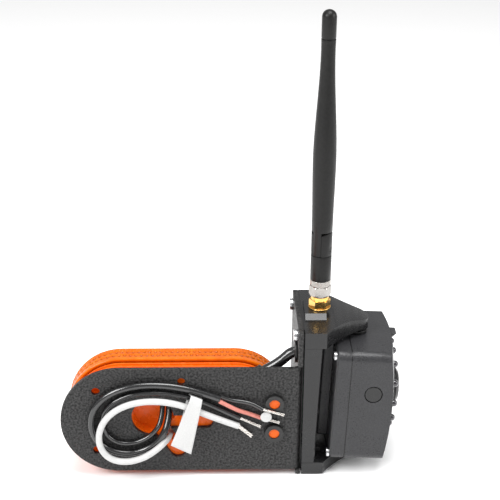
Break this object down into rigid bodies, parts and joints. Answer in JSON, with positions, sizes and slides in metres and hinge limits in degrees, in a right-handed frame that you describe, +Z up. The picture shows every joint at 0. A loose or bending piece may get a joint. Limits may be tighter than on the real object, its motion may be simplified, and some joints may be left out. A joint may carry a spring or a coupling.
{
  "type": "backup camera",
  "caption": "Side-mounted backup camera with a folding antenna on a steel L-bracket that also carries an amber marker lamp and its lead wires.",
  "frame": {"origin": "midway between the two wall screw holes, on the bracket's wall side", "axes": "+X the way the lens looks, +Y away from the vehicle's wall, +Z up along the antenna"},
  "size_m": [0.1474, 0.0514, 0.2014],
  "materials": {
    "bracket_coat": "fine wrinkle powder coat",
    "amber": "clear moulded plastic",
    "rubber": "moulded",
    "circuit_board": "solder mask",
    "led_epoxy": "clear dark resin",
    "cable_black": "satin sheath",
    "cable_white": "satin sheath",
    "cable_red": "satin sheath",
    "tinned_copper": "bright strands",
    "label_paper": "plain tape",
    "holder_plastic": "satin moulded",
    "screw_steel": "bright",
    "gold_plate": "bright plate",
    "insulator": "plain",
    "nickel_plate": "bright plate",
    "antenna_rubber": "satin",
    "camera_plastic": "fine texture",
    "lens_glass": "coated",
    "chip": "plain"
  },
  "bodies": {
    "bracket": {"l_bracket": "bracket_coat", "lamp_housing": "amber", "lamp_lens": "amber", "lamp_gasket": "rubber", "lamp_board": "circuit_board", "lamp_leds": "led_epoxy", "lamp_grommets": "rubber", "wire_bushes": "rubber", "camera_lead": "cable_black", "lead_gland": "rubber", "flange_grommet": "rubber", "power_cable": "cable_black", "black_lamp_wire": "cable_black", "white_lamp_wire": "cable_white", "red_core": "cable_red", "black_core": "cable_black", "bare_strands": "tinned_copper", "wire_label": "label_paper", "wire_tag": "label_paper", "holder_gasket": "rubber", "holder_back": "holder_plastic", "top_arm": "holder_plastic", "bottom_arm": "holder_plastic", "flange_screws": "screw_steel", "radio_board": "circuit_board", "shield_can": "screw_steel", "coax": "cable_black", "antenna_jack": "gold_plate", "jack_insulator": "insulator", "jack_washer": "gold_plate", "jack_nut": "gold_plate"},
    "coupling_nut": {"coupling_nut": "nickel_plate"},
    "antenna_base": {"antenna_swivel": "antenna_rubber", "hinge_pin": "screw_steel"},
    "antenna_mast": {"antenna_rod": "antenna_rubber", "antenna_element": "tinned_copper"},
    "camera": {"front_shell": "camera_plastic", "rear_cover": "camera_plastic", "cover_screws": "screw_steel", "cover_seal": "rubber", "side_plugs": "camera_plastic", "pivot_pins": "screw_steel", "pivot_washers": "rubber", "light_sensor": "led_epoxy", "visor": "camera_plastic", "lens_barrel": "camera_plastic", "lens_ring": "camera_plastic", "lens_glass": "lens_glass", "rear_element": "lens_glass", "main_board": "circuit_board", "image_sensor": "chip", "lens_holder": "camera_plastic", "led_board": "circuit_board", "infrared_leds": "led_epoxy"}
  },
  "joints": [
    {"name": "camera_pan", "type": "hinge", "parent": "bracket", "child": "camera", "pos_m": [0.1111, 0.0215, 0.0059], "axis": [0.0401, 0, 0.9992], "range_deg": [-10, 10]},
    {"name": "coupling_nut_spin", "type": "hinge", "parent": "bracket", "child": "coupling_nut", "pos_m": [0.0958, 0.0215, 0.05], "axis": [0, 0, 1], "continuous": true},
    {"name": "antenna_swivel", "type": "hinge", "parent": "bracket", "child": "antenna_base", "pos_m": [0.0958, 0.0215, 0.05715], "axis": [0, 0, 1], "range_deg": [-170, 170]},
    {"name": "antenna_fold", "type": "hinge", "parent": "antenna_base", "child": "antenna_mast", "pos_m": [0.0958, 0.0215, 0.07155], "axis": [-0.8192, 0.5736, 0], "range_deg": [0, 90]}
  ]
}
